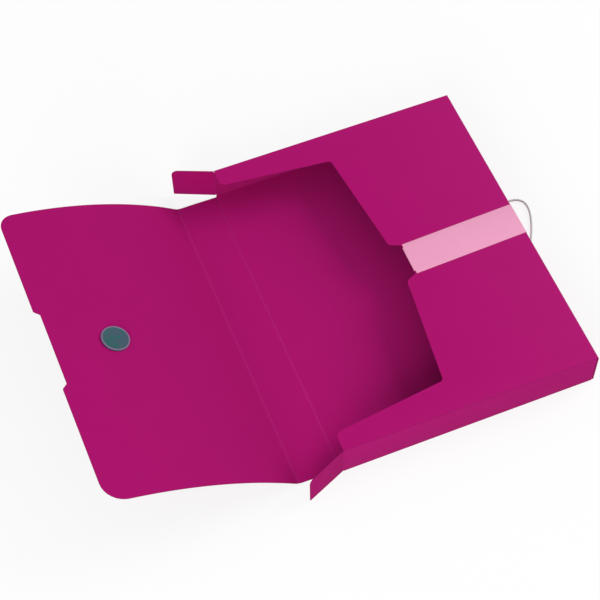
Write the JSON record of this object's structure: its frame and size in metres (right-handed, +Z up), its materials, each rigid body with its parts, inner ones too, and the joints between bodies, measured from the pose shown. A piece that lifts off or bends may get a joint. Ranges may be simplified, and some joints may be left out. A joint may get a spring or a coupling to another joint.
{
  "type": "file box",
  "caption": "Folded polypropylene file box for A4 papers, lying open: arched closure flap with a button, spine strip, dust flaps, cut-out front panel and elastic loop.",
  "frame": {"origin": "centre of the back panel's underside, on the surface that the box lies on", "axes": "+X from the mouth towards the closed end wall, across the box; +Y along the box's length from the near side wall to the far one; +Z up out of the back panel"},
  "size_m": [0.4946, 0.363, 0.0865],
  "materials": {
    "sheet": "satin",
    "button_disc": "satin",
    "button_cap": "satin",
    "band": "matte",
    "cord": "woven"
  },
  "bodies": {
    "box_body": {"back_panel": "sheet", "near_side_wall": "sheet", "far_side_wall": "sheet", "end_wall": "sheet", "front_panel": "sheet", "near_glue_flange": "sheet", "far_glue_flange": "sheet", "near_corner_tab": "sheet", "far_corner_tab": "sheet", "colour_band": "band", "elastic_loop": "cord", "near_cord_knot": "cord", "far_cord_knot": "cord"},
    "near_dust_flap": {"near_dust_flap": "sheet"},
    "far_dust_flap": {"far_dust_flap": "sheet"},
    "spine_strip": {"spine_strip": "sheet"},
    "flap_root": {"closure_flap_root": "sheet"},
    "flap_middle": {"closure_flap_middle": "sheet"},
    "flap_button_zone": {"closure_flap_button_zone": "sheet", "button_backing_disc": "button_disc", "button_cap": "button_cap"},
    "flap_edge": {"closure_flap_edge": "sheet"}
  },
  "joints": [
    {"name": "spine_fold", "type": "hinge", "parent": "box_body", "child": "spine_strip", "pos_m": [-0.1266, 0, 0.0004], "axis": [0, 1, 0], "range_deg": [-0.9, 88.8]},
    {"name": "flap_fold", "type": "hinge", "parent": "spine_strip", "child": "flap_root", "pos_m": [-0.16699, 0, 0.00125], "axis": [0, 1, 0], "range_deg": [-18, 51.5]},
    {"name": "flap_flex_near_crease", "type": "hinge", "parent": "flap_root", "child": "flap_middle", "pos_m": [-0.20308, 0, 0.02972], "axis": [0, 1, 0], "range_deg": [-2.61, 7.45]},
    {"name": "flap_flex_middle", "type": "hinge", "parent": "flap_middle", "child": "flap_button_zone", "pos_m": [-0.24255, 0, 0.05328], "axis": [0, 1, 0], "range_deg": [-2.83, 8.1]},
    {"name": "flap_flex_near_edge", "type": "hinge", "parent": "flap_button_zone", "child": "flap_edge", "pos_m": [-0.2923, 0, 0.07413], "axis": [0, 1, 0], "range_deg": [-2.83, 8.1]},
    {"name": "near_dust_fold", "type": "hinge", "parent": "box_body", "child": "near_dust_flap", "pos_m": [-0.1255, -0.1646, 0.019], "axis": [0, 0, -1], "range_deg": [-60, 113.4]},
    {"name": "far_dust_fold", "type": "hinge", "parent": "box_body", "child": "far_dust_flap", "pos_m": [-0.1255, 0.1646, 0.019], "axis": [0, 0, 1], "range_deg": [-60, 113.4]}
  ],
  "couplings": [
    {"joint": "flap_flex_near_crease", "follows": "flap_fold", "ratio": 0.1445},
    {"joint": "flap_flex_middle", "follows": "flap_fold", "ratio": 0.1571},
    {"joint": "flap_flex_near_edge", "follows": "flap_fold", "ratio": 0.1571}
  ]
}
